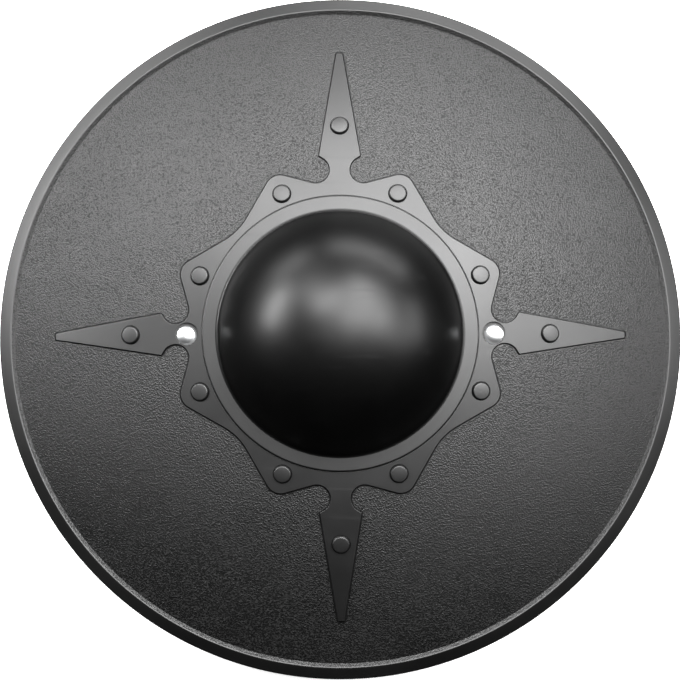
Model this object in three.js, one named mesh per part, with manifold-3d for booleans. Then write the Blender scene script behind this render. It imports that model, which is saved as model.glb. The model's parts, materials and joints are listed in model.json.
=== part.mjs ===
// Round training shield of the targe kind, moulded in black plastic, with a hollow boss and a raised star.
// Millimetres, +Z up. The shield lies face up on the lip of its rim.
// The origin is on the floor, under the middle of the shield.
import * as THREE from 'three';
import { mergeVertices } from 'three/addons/utils/BufferGeometryUtils.js';
import Module from 'manifold-3d';

const wasm = await Module();
wasm.setup();

// Face and rim of the shell
const outerRadius = 268.3;
const faceRadius = 585; // sphere that the dished face follows
const wall = 6.2;
const slopeWidth = 3.4; // inner slope that rises from the face to the rim band
const slopeRise = 1.4;
const bandWidth = 9.2; // smooth rim band, from the top of the slope to the outer edge
const bandDrop = 4.9;
const bandEndAngle = 60; // degrees above level at which the band turns into the rim's edge
const rimEdgeRadius = 1;
const lipWidth = 6;
const lipDepth = 7.4; // the lip reaches this far below the back
const lipEdge = 0.9;
const lipFillet = 3;

// Boss and the collar around it
const bossRadius = 94.2;
const bossHeight = 64;
const bossFillet = 3.5;
const collarRadius = 106.7;
const collarHeight = 2.3; // at its outer edge, above the plate
const collarRise = 1; // from its outer edge up to the boss
const collarEdge = 1.6;
const mouthRadius = 4; // rounding where the hollow of the boss opens to the back

// Star plate, moulded on the face
const plateHeight = 2;
const plateRoot = 1; // depth by which the plate, rivets and pads run into the shell that carries them
const armCount = 4;
const tipReach = 222.9;
const tipHalfWidth = 3.1;
const tipRounding = 1.2;
const shoulderReach = 137.4;
const shoulderHalfWidth = 16.7;
const shoulderRounding = 1.2;
const notchLedge = 0.2; // from the shoulder down to the round bite beside each arm's neck
const notchRadius = 10.1;
const neckHalfWidth = 8.4;
const lobeReach = 120.7;
const lobeAngle = 22.5; // degrees from the arm
const lobeRadius = 12.2;
const valleyReach = 113.2; // hollow curve of the outline, midway between two arms
const valleyRadius = 46.6;

// Moulded rivet heads
const rivetRadius = 7.1; // where the head stands on the plate
const rivetHeight = 2.1;
const rivetDraft = 0.8;
const rivetEdge = 0.7;
const ringRivetReach = 117.1;
const armRivetReach = 162.4;

// Carriage bolts, their recesses in the face and their washers and nuts
const boltReach = 118.3;
const boltDrop = 1.1; // the bolts sit this much towards -Y in their recesses
const recessRadius = 8.9;
const recessDepth = 3.6;
const headRadius = 7.5;
const headHeight = 3.4;
const neckSide = 6.2;
const neckDepth = 4;
const shankRadius = 3;
const boltLength = 30;
const washerRadius = 8;
const washerThickness = 1.6;
const nutAcross = 10;
const nutHeight = 6;
const nutChamfer = 0.6;
const nutTopRadius = 4.2; // plain round top of the nut
const nutTopHeight = 1.4;

// Grip across the back of the boss
const padRadius = 15;
const padStand = 3;
const lugThickness = 8;
const barWidth = 24;
const gripHalfWidth = 15;
const gripHalfHeight = 13;
const gripStraight = 46; // half length of the full section
const gripTaper = 34; // length over which each end runs down to the bar
const gripEndScale = 0.36;

// Clearances and fineness
const gap = 0.3; // between touching pieces
const turnSegments = 64;
const smallSegments = 12;
const bossSteps = 6;
const faceSteps = 6;
const backSteps = 4;
const arcSteps = 2;
const outlineSteps = 2;
const taperSteps = 4;
const headSteps = 3;

const turn = Math.PI * 2;
const degrees = Math.PI / 180;

// Centre height of the sphere of the face, set by the lip that stands on the floor
const lipInner = outerRadius - lipWidth;
const backRadius = faceRadius - wall;
const sphereZ = lipDepth - Math.sqrt(backRadius ** 2 - lipInner ** 2);

// Height of the face, and of the back, at a distance from the axis
const face = (r) => sphereZ + Math.sqrt(faceRadius ** 2 - r ** 2);
const back = (r) => sphereZ + Math.sqrt(backRadius ** 2 - r ** 2);

// Heights that follow from the face
const collarTop = face(collarRadius) + plateHeight + collarHeight;
const bossSphere = (bossRadius ** 2 + bossHeight ** 2) / (2 * bossHeight);
const collarPeak = collarTop + collarRise;
const bossZ = collarPeak + bossHeight - bossSphere;
const plateTopAtBolt = face(boltReach) + plateHeight;
const recessFloor = plateTopAtBolt - recessDepth;
const padBottom = back(boltReach + padRadius) - padStand;
const lugTop = padBottom - gap;
const lugBottom = lugTop - lugThickness;
const washerTop = lugBottom - gap;
const nutTop = washerTop - washerThickness - gap;

const points = (pairs) => pairs.map(([x, y]) => new THREE.Vector2(x, y));

// Points on an arc of a profile, from one angle to another in degrees
function arc(x, y, radius, from, to, steps) {
  return Array.from({ length: steps + 1 }, (_, i) => {
    const angle = (from + ((to - from) * i) / steps) * degrees;
    return [x + radius * Math.cos(angle), y + radius * Math.sin(angle)];
  });
}

// Points of a curve z = height(r), evenly spaced between two radii
function curve(height, from, to, steps) {
  return Array.from({ length: steps + 1 }, (_, i) => {
    const r = from + ((to - from) * i) / steps;
    return [r, height(r)];
  });
}

// Turned body about the Z axis, from a profile of [radius, height] pairs
function turned(pairs, segments) {
  return new THREE.LatheGeometry(points(pairs), segments).rotateX(Math.PI / 2);
}

// Prism from a flat outline, from one height to another
function prism(shape, bottom, top, curveSegments) {
  const settings = { depth: top - bottom, bevelEnabled: false, curveSegments };
  return new THREE.ExtrudeGeometry(shape, settings).translate(0, 0, bottom);
}

function cylinder(radius, bottom, top, segments) {
  const solid = new THREE.CylinderGeometry(radius, radius, top - bottom, segments);
  return solid.rotateX(Math.PI / 2).translate(0, 0, (top + bottom) / 2);
}

// Closed three.js geometry as a solid that can be joined and cut
function solidOf(geometry) {
  const bare = new THREE.BufferGeometry();
  bare.setAttribute('position', geometry.getAttribute('position').clone());
  if (geometry.index) {
    bare.setIndex(geometry.index.clone());
  }
  const merged = mergeVertices(bare, 1e-4);
  const corners = merged.index.array;
  const triVerts = [];
  for (let i = 0; i < corners.length; i += 3) {
    const [a, b, c] = corners.slice(i, i + 3);
    if (a !== b && b !== c && c !== a) {
      triVerts.push(a, b, c);
    }
  }
  const vertProperties = new Float32Array(merged.getAttribute('position').array);
  const mesh = new wasm.Mesh({ numProp: 3, vertProperties, triVerts: new Uint32Array(triVerts) });
  return new wasm.Manifold(mesh);
}

// Joined or cut solid back as a three.js geometry
function geometryOf(solid) {
  const mesh = solid.getMesh();
  const geometry = new THREE.BufferGeometry();
  geometry.setAttribute('position', new THREE.BufferAttribute(mesh.vertProperties, 3));
  geometry.setIndex(new THREE.BufferAttribute(mesh.triVerts, 1));
  const flat = geometry.toNonIndexed();
  flat.computeVertexNormals();
  return flat;
}

// Point where two circles meet, both centred on the axis, as a radius and a height
function meet(firstZ, firstRadius, secondZ, secondRadius) {
  const apart = secondZ - firstZ;
  const along = (firstRadius ** 2 - secondRadius ** 2 + apart ** 2) / (2 * apart);
  return [Math.sqrt(firstRadius ** 2 - along ** 2), firstZ + along];
}

// Bearing in degrees of a point of the profile, seen from a centre on the axis
const bearingFrom = (centreZ, [r, z]) => Math.atan2(z - centreZ, r) / degrees;

// Cross-section of the shell: over the boss, the collar and the face, round the lip and back inside.
// It is listed that way and then turned round, because a turned profile runs anticlockwise.
function shellProfile() {
  const slopeFoot = outerRadius - bandWidth - slopeWidth;
  const slopeTop = outerRadius - bandWidth;
  const bandTopZ = face(slopeFoot) + slopeRise;
  const bandEndZ = bandTopZ - bandDrop;
  const filletZ = collarPeak + bossFillet;
  const filletR = Math.sqrt((bossSphere + bossFillet) ** 2 - (filletZ - bossZ) ** 2);
  const bossEnd = bearingFrom(bossZ, [filletR, filletZ]);
  const hollow = bossSphere - wall;
  const mouth = meet(sphereZ, backRadius + mouthRadius, bossZ, hollow + mouthRadius);
  const hollowEnd = bearingFrom(bossZ, mouth);
  const backEnd = bearingFrom(sphereZ, mouth);
  const lipR = lipInner - lipFillet;
  const lipZ = sphereZ + Math.sqrt((backRadius - lipFillet) ** 2 - lipR ** 2);
  const lipEnd = bearingFrom(sphereZ, [lipR, lipZ]);
  const backStart = backRadius * Math.cos(lipEnd * degrees);
  return [
    ...arc(0, bossZ, bossSphere, 90, bossEnd, bossSteps),
    ...arc(filletR, filletZ, bossFillet, bossEnd + 180, 270, arcSteps).slice(1),
    [collarRadius - collarEdge, collarTop],
    [collarRadius, collarTop - collarEdge],
    ...curve(face, collarRadius, slopeFoot, faceSteps),
    [slopeTop, bandTopZ],
    ...arc(outerRadius - rimEdgeRadius, bandEndZ - rimEdgeRadius, rimEdgeRadius, bandEndAngle, 0, arcSteps),
    [outerRadius, lipEdge],
    [outerRadius - lipEdge, 0],
    [lipInner + lipEdge, 0],
    [lipInner, lipEdge],
    ...arc(lipR, lipZ, lipFillet, 0, lipEnd, arcSteps),
    ...curve(back, backStart, backRadius * Math.cos(backEnd * degrees), backSteps).slice(1),
    ...arc(mouth[0], mouth[1], mouthRadius, backEnd + 180, hollowEnd + 180, arcSteps).slice(1),
    ...arc(0, bossZ, hollow, hollowEnd, 90, bossSteps).slice(1),
  ].reverse();
}

// Straight line that touches two circles of an outline, as the angle of its outward normal.
// A circle with a negative radius is a hollow one, which the outline passes on its inner side.
function tangentAngle(first, second) {
  const along = second.centre.clone().sub(first.centre);
  const swing = Math.asin((first.radius - second.radius) / along.length());
  return along.angle() - Math.PI / 2 + swing;
}

// Outline that runs anticlockwise from circle to circle along their common tangents
function beltOutline(circles) {
  const outline = new THREE.Shape();
  circles.forEach((circle, i) => {
    const before = circles.at(i - 1);
    const after = circles[(i + 1) % circles.length];
    const flip = circle.radius < 0 ? Math.PI : 0;
    const from = tangentAngle(before, circle) + flip;
    const to = tangentAngle(circle, after) + flip;
    outline.absarc(circle.centre.x, circle.centre.y, Math.abs(circle.radius), from, to, circle.radius < 0);
  });
  outline.closePath();
  return outline;
}

// Circles of one side of an arm that points along +X, from the tip inwards
function armCircles() {
  const lobe = new THREE.Vector2(lobeReach, 0).rotateAround(new THREE.Vector2(), lobeAngle * degrees);
  const notch = new THREE.Vector2(shoulderReach - notchLedge - notchRadius, neckHalfWidth + notchRadius);
  return [
    { centre: new THREE.Vector2(tipReach - tipRounding, tipHalfWidth - tipRounding), radius: tipRounding },
    {
      centre: new THREE.Vector2(shoulderReach + shoulderRounding, shoulderHalfWidth - shoulderRounding),
      radius: shoulderRounding,
    },
    { centre: notch, radius: -notchRadius },
    { centre: lobe, radius: lobeRadius },
  ];
}

// Flat outline of the star: its arms, and a hollow curve between each two of them
function starOutline() {
  const left = armCircles();
  const right = left.map(({ centre: { x, y }, radius }) => ({ centre: new THREE.Vector2(x, -y), radius }));
  const valleyAngle = Math.PI / armCount;
  const valleyAt = new THREE.Vector2(valleyReach + valleyRadius, 0);
  valleyAt.rotateAround(new THREE.Vector2(), valleyAngle);
  const section = [...right.reverse(), ...left, { centre: valleyAt, radius: -valleyRadius }];
  const circles = Array.from({ length: armCount }, (_, arm) =>
    section.map(({ centre, radius }) => ({
      centre: centre.clone().rotateAround(new THREE.Vector2(), (arm * turn) / armCount),
      radius,
    })),
  );
  return beltOutline(circles.flat());
}

// Star plate: the layer over the face, cut to the outline of the star
function starSolid() {
  const inner = collarRadius - wall;
  const outer = outerRadius - bandWidth - slopeWidth;
  const surface = [[inner, face(inner)], ...curve(face, collarRadius, outer, faceSteps)];
  const lower = surface.map(([r, z]) => [r, z - plateRoot]);
  const upper = lower.map(([r, z]) => [r, z + plateRoot + plateHeight]).reverse();
  const layer = solidOf(turned([...lower, ...upper, lower[0]], turnSegments));
  return layer.intersect(solidOf(prism(starOutline(), 0, collarPeak, outlineSteps)));
}

// Moulded rivet head, square to the face, at a reach and a bearing in radians
function rivetSolid(reach, bearing) {
  const shoulder = rivetRadius - rivetDraft;
  const rootRadius = rivetRadius + (rivetDraft * plateRoot) / (rivetHeight - rivetEdge);
  const profile = [
    [0, -plateRoot],
    [rootRadius, -plateRoot],
    [shoulder, rivetHeight - rivetEdge],
    [shoulder - rivetEdge, rivetHeight],
    [0, rivetHeight],
  ];
  const head = turned(profile, smallSegments);
  head.rotateY(Math.asin(reach / faceRadius));
  head.translate(reach, 0, face(reach) + plateHeight).rotateZ(bearing);
  return solidOf(head);
}

function rivetSolids() {
  const arms = Array.from({ length: armCount }, (_, arm) => (arm * turn) / armCount);
  const onLobes = arms.flatMap((bearing) =>
    [-lobeAngle, lobeAngle].map((aside) => rivetSolid(ringRivetReach, bearing + aside * degrees)),
  );
  return [...onLobes, ...arms.map((bearing) => rivetSolid(armRivetReach, bearing))];
}

// Side of the shield on which a bolt sits: -1 at the left, 1 at the right
const sides = { left: -1, right: 1 };

// Seat for the grip on the back, in line with the bolt
function padSolid(side) {
  const pad = cylinder(padRadius, padBottom, back(boltReach) + plateRoot, 2 * smallSegments);
  return solidOf(pad.translate(side * boltReach, -boltDrop, 0));
}

// Round recess in the face with the bolt's square hole in its floor
function boltPassage(side) {
  const recess = cylinder(recessRadius, recessFloor, collarPeak + bossFillet, 2 * smallSegments);
  const holeSide = neckSide + 2 * gap;
  const holeDepth = recessFloor - padBottom;
  const hole = new THREE.BoxGeometry(holeSide, holeSide, holeDepth + 2 * plateRoot);
  hole.translate(side * boltReach, -boltDrop, recessFloor - holeDepth / 2);
  return solidOf(recess.translate(side * boltReach, 0, 0)).add(solidOf(hole));
}

// Shell: boss, collar, face, rim, star, rivet heads and grip seats, all moulded in one
function shellGeometry() {
  let shell = solidOf(turned(shellProfile(), turnSegments)).add(starSolid());
  rivetSolids().forEach((rivet) => {
    shell = shell.add(rivet);
  });
  Object.values(sides).forEach((side) => {
    shell = shell.add(padSolid(side)).subtract(boltPassage(side));
  });
  return geometryOf(shell);
}

// Grip: a rounded handle between two flat lugs, at its place under the pads
function gripGeometry() {
  const halfBar = barWidth / 2;
  const barEnd = boltReach - Math.sqrt(padRadius ** 2 - halfBar ** 2);
  const outline = new THREE.Shape();
  const swing = Math.asin(halfBar / padRadius);
  outline.moveTo(barEnd, halfBar);
  outline.lineTo(-barEnd, halfBar);
  outline.absarc(-boltReach, 0, padRadius, swing, turn - swing, false);
  outline.lineTo(barEnd, -halfBar);
  outline.absarc(boltReach, 0, padRadius, Math.PI + swing, 3 * Math.PI - swing, false);
  const lugs = prism(outline, lugBottom, lugTop, smallSegments / 2);
  const end = gripStraight + gripTaper;
  const shrink = (t) => (1 + gripEndScale) / 2 + ((1 - gripEndScale) / 2) * Math.cos(t * Math.PI);
  const taper = Array.from({ length: taperSteps + 1 }, (_, i) => i / taperSteps);
  const half = [...taper.map((t) => [shrink(t), gripStraight + t * gripTaper]), [0, end]].reverse();
  const mirrored = half.map(([r, x]) => [r, -x]);
  const handle = turned([...mirrored, ...half.toReversed()], 2 * smallSegments);
  handle.rotateY(Math.PI / 2).scale(1, gripHalfWidth, gripHalfHeight);
  handle.translate(0, 0, (lugTop + lugBottom) / 2);
  let grip = solidOf(lugs).add(solidOf(handle));
  Object.values(sides).forEach((side) => {
    const hole = cylinder(shankRadius + gap, lugBottom - plateRoot, lugTop + plateRoot, smallSegments);
    grip = grip.subtract(solidOf(hole.translate(side * boltReach, 0, 0)));
  });
  return geometryOf(grip).translate(0, -boltDrop, 0);
}

// Carriage bolt: low domed head, square neck and round shank, on its own axis
function boltGeometry() {
  const headBottom = recessFloor + gap;
  const headSphere = (headRadius ** 2 + headHeight ** 2) / (2 * headHeight);
  const headZ = headBottom + headHeight - headSphere;
  const rimAngle = Math.acos(headRadius / headSphere) / degrees;
  const headProfile = [[0, headBottom], ...arc(0, headZ, headSphere, rimAngle, 90, headSteps)];
  const head = turned(headProfile, 2 * smallSegments);
  const neck = new THREE.BoxGeometry(neckSide, neckSide, neckDepth + plateRoot);
  neck.translate(0, 0, headBottom + (plateRoot - neckDepth) / 2);
  const shank = cylinder(shankRadius, headBottom - boltLength, headBottom, smallSegments);
  return geometryOf(solidOf(head).add(solidOf(neck)).add(solidOf(shank)));
}

function washerGeometry() {
  const bore = shankRadius + gap;
  const bottom = washerTop - washerThickness;
  const profile = [
    [bore, bottom],
    [washerRadius, bottom],
    [washerRadius, washerTop],
    [bore, washerTop],
    [bore, bottom],
  ];
  return turned(profile, 2 * smallSegments);
}

// Six-sided nut with bevelled corners and a plain round collar below
function nutGeometry() {
  const corner = nutAcross / Math.sqrt(3);
  const bottom = nutTop - nutHeight;
  const bevelZ = bottom + nutTopHeight;
  const hexagon = cylinder(corner, bevelZ, nutTop, 6);
  const bevelProfile = [
    [0, bevelZ],
    [nutAcross / 2, bevelZ],
    [corner, bevelZ + nutChamfer],
    [corner, nutTop - nutChamfer],
    [nutAcross / 2, nutTop],
    [0, nutTop],
  ];
  const bevel = turned(bevelProfile, smallSegments);
  const collar = cylinder(nutTopRadius, bottom, bevelZ + nutChamfer, smallSegments);
  const hole = cylinder(shankRadius + gap, bottom - plateRoot, nutTop + plateRoot, smallSegments);
  return geometryOf(solidOf(hexagon).intersect(solidOf(bevel)).add(solidOf(collar)).subtract(solidOf(hole)));
}

const shellPlastic = { color: 0x1c1c1e, roughness: 0.45, metalness: 0 };
const gripPlastic = { color: 0x19191b, roughness: 0.5, metalness: 0 };
const plating = { color: 0xd9dadc, roughness: 0.12, metalness: 1 };

function piece(name, geometry, finish) {
  const mesh = new THREE.Mesh(geometry, new THREE.MeshStandardMaterial(finish));
  mesh.name = name;
  return mesh;
}

// Bolt, washer and nut of one side, as a group on the bolt's axis
function fastener(name, side) {
  const group = new THREE.Group();
  group.add(piece(`bolt_${name}`, boltGeometry(), plating));
  group.add(piece(`washer_${name}`, washerGeometry(), plating));
  group.add(piece(`nut_${name}`, nutGeometry(), plating));
  group.position.set(side * boltReach, -boltDrop, 0);
  return group;
}

const targe = new THREE.Group();
targe.add(piece('shell', shellGeometry(), shellPlastic));
targe.add(piece('grip', gripGeometry(), gripPlastic));
Object.entries(sides).forEach(([name, side]) => targe.add(fastener(name, side)));

export default targe;
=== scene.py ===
"""Looks of a round training shield of the targe kind, moulded in black plastic. Metres, +Z up."""

import json
import logging
import math
from abc import ABC, abstractmethod
from collections.abc import Callable, Iterable
from dataclasses import dataclass, field
from enum import Enum
from functools import partial

import bpy
from bpy.types import Material, MeshEdge, Node, NodeSocket, NodeTree, Object
from mathutils import Matrix, Vector

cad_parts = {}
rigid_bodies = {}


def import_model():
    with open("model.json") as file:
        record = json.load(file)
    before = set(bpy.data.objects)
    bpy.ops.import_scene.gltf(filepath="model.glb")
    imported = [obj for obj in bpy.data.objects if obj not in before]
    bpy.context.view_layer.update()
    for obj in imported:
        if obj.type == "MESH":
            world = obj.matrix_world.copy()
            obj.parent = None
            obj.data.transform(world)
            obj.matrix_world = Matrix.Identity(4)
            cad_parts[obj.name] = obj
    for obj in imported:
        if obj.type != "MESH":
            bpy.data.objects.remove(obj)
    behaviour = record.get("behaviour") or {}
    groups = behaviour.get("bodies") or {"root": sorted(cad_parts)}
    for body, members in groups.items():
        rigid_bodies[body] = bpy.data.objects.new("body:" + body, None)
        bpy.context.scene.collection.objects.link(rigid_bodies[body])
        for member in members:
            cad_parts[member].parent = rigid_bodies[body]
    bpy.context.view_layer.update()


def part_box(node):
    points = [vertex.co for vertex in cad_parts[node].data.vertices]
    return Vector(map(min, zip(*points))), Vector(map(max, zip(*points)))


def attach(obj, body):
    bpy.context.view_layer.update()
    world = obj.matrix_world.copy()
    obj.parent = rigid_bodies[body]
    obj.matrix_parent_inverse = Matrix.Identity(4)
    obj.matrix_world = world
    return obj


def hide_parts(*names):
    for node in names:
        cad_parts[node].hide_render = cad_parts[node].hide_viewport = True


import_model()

LOG = logging.getLogger("targe")
MM = 0.001
HAIR = MM / 100
AXIS_Z = Vector((0, 0, 1))
Place = Vector | tuple[float, float, float]
Value = NodeSocket | float
Tone = tuple[float, float, float]


class Cut(Enum):
    """Ways in which one solid changes another."""

    JOIN = "UNION"
    REMOVE = "DIFFERENCE"


class Skin(Enum):
    """Finishes on the shell, in the order of its material slots."""

    FIELD = 0
    SATIN = 1
    BOSS = 2
    BACK = 3


class Side(Enum):
    """Sides of the shield on which the bolts sit, along X."""

    LEFT = -1
    RIGHT = 1

    @property
    def label(self) -> str:
        """The side's name as the pieces' names have it."""
        return self.name.lower()


@dataclass(frozen=True)
class Circle:
    """One circle of an outline. A negative radius is a hollow, passed on its inner side."""

    centre: Vector
    radius: float


@dataclass(frozen=True)
class ShieldSizes:
    """Sizes of the shield, in metres.

    They are those of the solids, but for the grooves, which are in this mesh alone, and for the rise of the
    slope and the fall and bulge of the band, which were matched to the photograph last.
    """

    outer_radius: float
    face_radius: float = 585 * MM
    wall: float = 6.2 * MM
    slope_width: float = 3.4 * MM
    slope_rise: float = 1.9 * MM
    slope_edge: float = 0.8 * MM
    band_width: float = 9.2 * MM
    band_drop: float = 5.3 * MM
    band_bulge: float = 0.03 * MM
    band_end_angle: float = 59
    rim_edge_radius: float = 1 * MM
    lip_width: float = 6 * MM
    lip_depth: float = 7.4 * MM
    lip_edge: float = 0.9 * MM
    lip_fillet: float = 3 * MM
    boss_radius: float = 94.2 * MM
    boss_height: float = 64 * MM
    boss_fillet: float = 3.5 * MM
    collar_radius: float = 106.7 * MM
    collar_height: float = 2.3 * MM
    collar_rise: float = 1 * MM
    collar_edge: float = 1.6 * MM
    mouth_radius: float = 4 * MM
    plate_height: float = 2 * MM
    root: float = 1 * MM
    groove_width: float = 0.5 * MM
    groove_depth: float = 0.7 * MM
    bolt_reach: float = 118.3 * MM
    bolt_drop: float = 1.1 * MM
    recess_radius: float = 8.9 * MM
    recess_depth: float = 3.6 * MM
    pad_radius: float = 15 * MM
    pad_stand: float = 3 * MM
    gap: float = 0.3 * MM

    @property
    def lip_inner(self) -> float:
        """Radius of the lip's inner side."""
        return self.outer_radius - self.lip_width

    @property
    def back_radius(self) -> float:
        """Radius of the sphere that the back follows."""
        return self.face_radius - self.wall

    @property
    def sphere_z(self) -> float:
        """Height of the centre of the face's sphere, set by the lip that stands on the floor."""
        return self.lip_depth - math.sqrt(self.back_radius**2 - self.lip_inner**2)

    @property
    def slope_foot(self) -> float:
        """Radius at which the pebbled face ends."""
        return self.outer_radius - self.band_width - self.slope_width

    @property
    def collar_top(self) -> float:
        """Height of the collar's outer edge."""
        return self.face(self.collar_radius) + self.plate_height + self.collar_height

    @property
    def collar_peak(self) -> float:
        """Height of the collar where it meets the boss."""
        return self.collar_top + self.collar_rise

    @property
    def boss_sphere(self) -> float:
        """Radius of the sphere that the boss follows."""
        return (self.boss_radius**2 + self.boss_height**2) / (2 * self.boss_height)

    @property
    def boss_z(self) -> float:
        """Height of the centre of the boss's sphere."""
        return self.collar_peak + self.boss_height - self.boss_sphere

    @property
    def recess_floor(self) -> float:
        """Height of the floor under the bolt heads."""
        return self.face(self.bolt_reach) + self.plate_height - self.recess_depth

    @property
    def pad_bottom(self) -> float:
        """Height of the flat seats for the grip."""
        return self.back(self.bolt_reach + self.pad_radius) - self.pad_stand

    def face(self, radius: float) -> float:
        """Height of the face at a distance from the axis."""
        return self.sphere_z + math.sqrt(self.face_radius**2 - radius**2)

    def back(self, radius: float) -> float:
        """Height of the back at a distance from the axis."""
        return self.sphere_z + math.sqrt(self.back_radius**2 - radius**2)


def arc(centre: tuple[float, float], radius: float, start: float, end: float, steps: int) -> list[Vector]:
    """Points of an arc in the XZ plane.

    Args:
        centre: distance from the axis and height of the arc's centre.
        radius: radius of the arc.
        start: bearing of the first point, in degrees from +X towards +Z.
        end: bearing of the last point.
        steps: number of equal steps.

    Returns:
        The points, first and last included.
    """
    bearings = [math.radians(start + (end - start) * i / steps) for i in range(steps + 1)]
    x, z = centre
    return [Vector((x + radius * math.cos(b), 0, z + radius * math.sin(b))) for b in bearings]


def meet(first_z: float, first_radius: float, second_z: float, second_radius: float) -> tuple[float, float]:
    """Point where two circles meet, both centred on the axis.

    Args:
        first_z: height of the first centre.
        first_radius: radius of the first circle.
        second_z: height of the second centre.
        second_radius: radius of the second circle.

    Returns:
        The point's distance from the axis and its height.
    """
    apart = second_z - first_z
    along = (first_radius**2 - second_radius**2 + apart**2) / (2 * apart)
    return math.sqrt(first_radius**2 - along**2), first_z + along


def bearing_of(radius: float, height: float, centre_z: float) -> float:
    """Bearing in degrees of a point in the XZ plane, seen from a centre on the axis."""
    return math.degrees(math.atan2(height - centre_z, radius))


def upright(pairs: Iterable[tuple[float, float]]) -> list[Vector]:
    """Points in the XZ plane from their distances from the axis and their heights."""
    return [Vector((radius, 0, height)) for radius, height in pairs]


def hand_over(piece: Object, node: str) -> None:
    """Hides the solid that a finished piece replaces and puts the piece on the root body."""
    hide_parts(node)
    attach(piece, "root")


class Bench:
    """Modelling steps on one mesh at a time, with Blender's own tools."""

    @staticmethod
    def clear() -> None:
        """Leaves edit mode and deselects everything."""
        if bpy.context.object and bpy.context.object.mode != "OBJECT":
            bpy.ops.object.mode_set(mode="OBJECT")
        bpy.ops.object.select_all(action="DESELECT")

    @staticmethod
    def take(*pieces: Object) -> None:
        """Selects these pieces alone and makes the first one active."""
        Bench.clear()
        for piece in pieces:
            piece.select_set(True)
        bpy.context.view_layer.objects.active = pieces[0]

    @staticmethod
    def edit(piece: Object, select: str = "SELECT") -> None:
        """Opens a piece in edit mode with all of it selected, or none of it."""
        Bench.take(piece)
        bpy.ops.object.mode_set(mode="EDIT")
        bpy.ops.mesh.select_mode(type="VERT")
        bpy.ops.mesh.select_all(action=select)

    @staticmethod
    def named(name: str) -> Object:
        """Names the primitive that was just added and settles its place in its mesh."""
        piece = bpy.context.object
        piece.name = name
        piece.data.name = name
        bpy.ops.object.transform_apply(location=True, rotation=True, scale=True)
        return piece

    @staticmethod
    def drum(name: str, radius: float, depth: float, place: Place, sides: int) -> Object:
        """Adds an upright cylinder round a place, as a piece or as a tool."""
        Bench.clear()
        bpy.ops.mesh.primitive_cylinder_add(vertices=sides, radius=radius, depth=depth, location=place)
        return Bench.named(name)

    @staticmethod
    def block(name: str, sides: tuple[float, float, float], place: Place) -> Object:
        """Adds a block round a place, as a piece or as a tool."""
        Bench.clear()
        bpy.ops.mesh.primitive_cube_add(size=1, location=place, scale=sides)
        return Bench.named(name)

    @staticmethod
    def raise_up(height: Vector) -> None:
        """Extrudes the selected face of the piece in edit mode into a body with its faces outwards."""
        bpy.ops.mesh.extrude_region_move(TRANSFORM_OT_translate={"value": height})
        Bench.face_out()

    @staticmethod
    def face_out() -> None:
        """Turns all faces of the piece in edit mode outwards."""
        bpy.ops.mesh.select_all(action="SELECT")
        bpy.ops.mesh.normals_make_consistent(inside=False)

    @staticmethod
    def line(name: str, points: list[Vector], closed: bool = False) -> Object:
        """Draws a line by extruding one vertex from point to point.

        Args:
            name: name of the new mesh.
            points: the line's points.
            closed: whether the line returns to its start and is filled.

        Returns:
            The new piece, in edit mode with all of it selected.
        """
        Bench.clear()
        bpy.ops.mesh.primitive_plane_add(size=MM, location=points[0])
        piece = Bench.named(name)
        Bench.edit(piece)
        bpy.ops.mesh.merge(type="CENTER")
        for before, after in zip(points, points[1:]):
            bpy.ops.mesh.extrude_region_move(TRANSFORM_OT_translate={"value": after - before})
        if closed:
            Bench.choose(piece, "VERT", lambda item: item.index in (0, len(points) - 1))
            bpy.ops.mesh.edge_face_add()
            bpy.ops.mesh.select_all(action="SELECT")
            bpy.ops.mesh.edge_face_add()
        bpy.ops.mesh.select_all(action="SELECT")
        return piece

    @staticmethod
    def choose(piece: Object, kind: str, wanted: Callable[..., bool]) -> None:
        """Selects the vertices, edges or faces of the piece in edit mode that meet a test.

        Args:
            piece: the piece in edit mode.
            kind: VERT, EDGE or FACE.
            wanted: a test on a mesh vertex, edge or polygon.
        """
        bpy.ops.mesh.select_mode(type=kind)
        bpy.ops.mesh.select_all(action="DESELECT")
        bpy.ops.object.mode_set(mode="OBJECT")
        mesh = piece.data
        items = {"VERT": mesh.vertices, "EDGE": mesh.edges, "FACE": mesh.polygons}[kind]
        for item in items:
            item.select = bool(wanted(item))
        bpy.ops.object.mode_set(mode="EDIT")

    @staticmethod
    def turn(name: str, points: list[Vector], steps: int) -> Object:
        """Turns a line once round the Z axis into a closed body.

        Args:
            name: name of the new mesh.
            points: the line's points in the XZ plane, closed or with both ends on the axis.
            steps: number of steps in the turn.

        Returns:
            The turned body.
        """
        piece = Bench.line(name, points)
        bpy.ops.mesh.spin(steps=steps, angle=math.tau, center=(0, 0, 0), axis=(0, 0, 1))
        bpy.ops.mesh.select_all(action="SELECT")
        bpy.ops.mesh.remove_doubles(threshold=HAIR)
        bpy.ops.mesh.normals_make_consistent(inside=False)
        Bench.clear()
        return piece

    @staticmethod
    def place(piece: Object, matrix: Matrix) -> Object:
        """Moves a piece's mesh by a matrix and leaves its object at the origin."""
        Bench.take(piece)
        piece.matrix_world = matrix
        bpy.ops.object.transform_apply(location=True, rotation=True, scale=True)
        return piece

    @staticmethod
    def copy(piece: Object, name: str, matrix: Matrix) -> Object:
        """Copies a piece with its own mesh and places the copy."""
        twin = piece.copy()
        twin.data = piece.data.copy()
        twin.name = name
        twin.data.name = name
        bpy.context.scene.collection.objects.link(twin)
        return Bench.place(twin, matrix)

    @staticmethod
    def join(pieces: list[Object]) -> Object:
        """Joins pieces that don't touch into one mesh, which keeps the first one's name."""
        Bench.take(*pieces)
        bpy.ops.object.join()
        return pieces[0]

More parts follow.
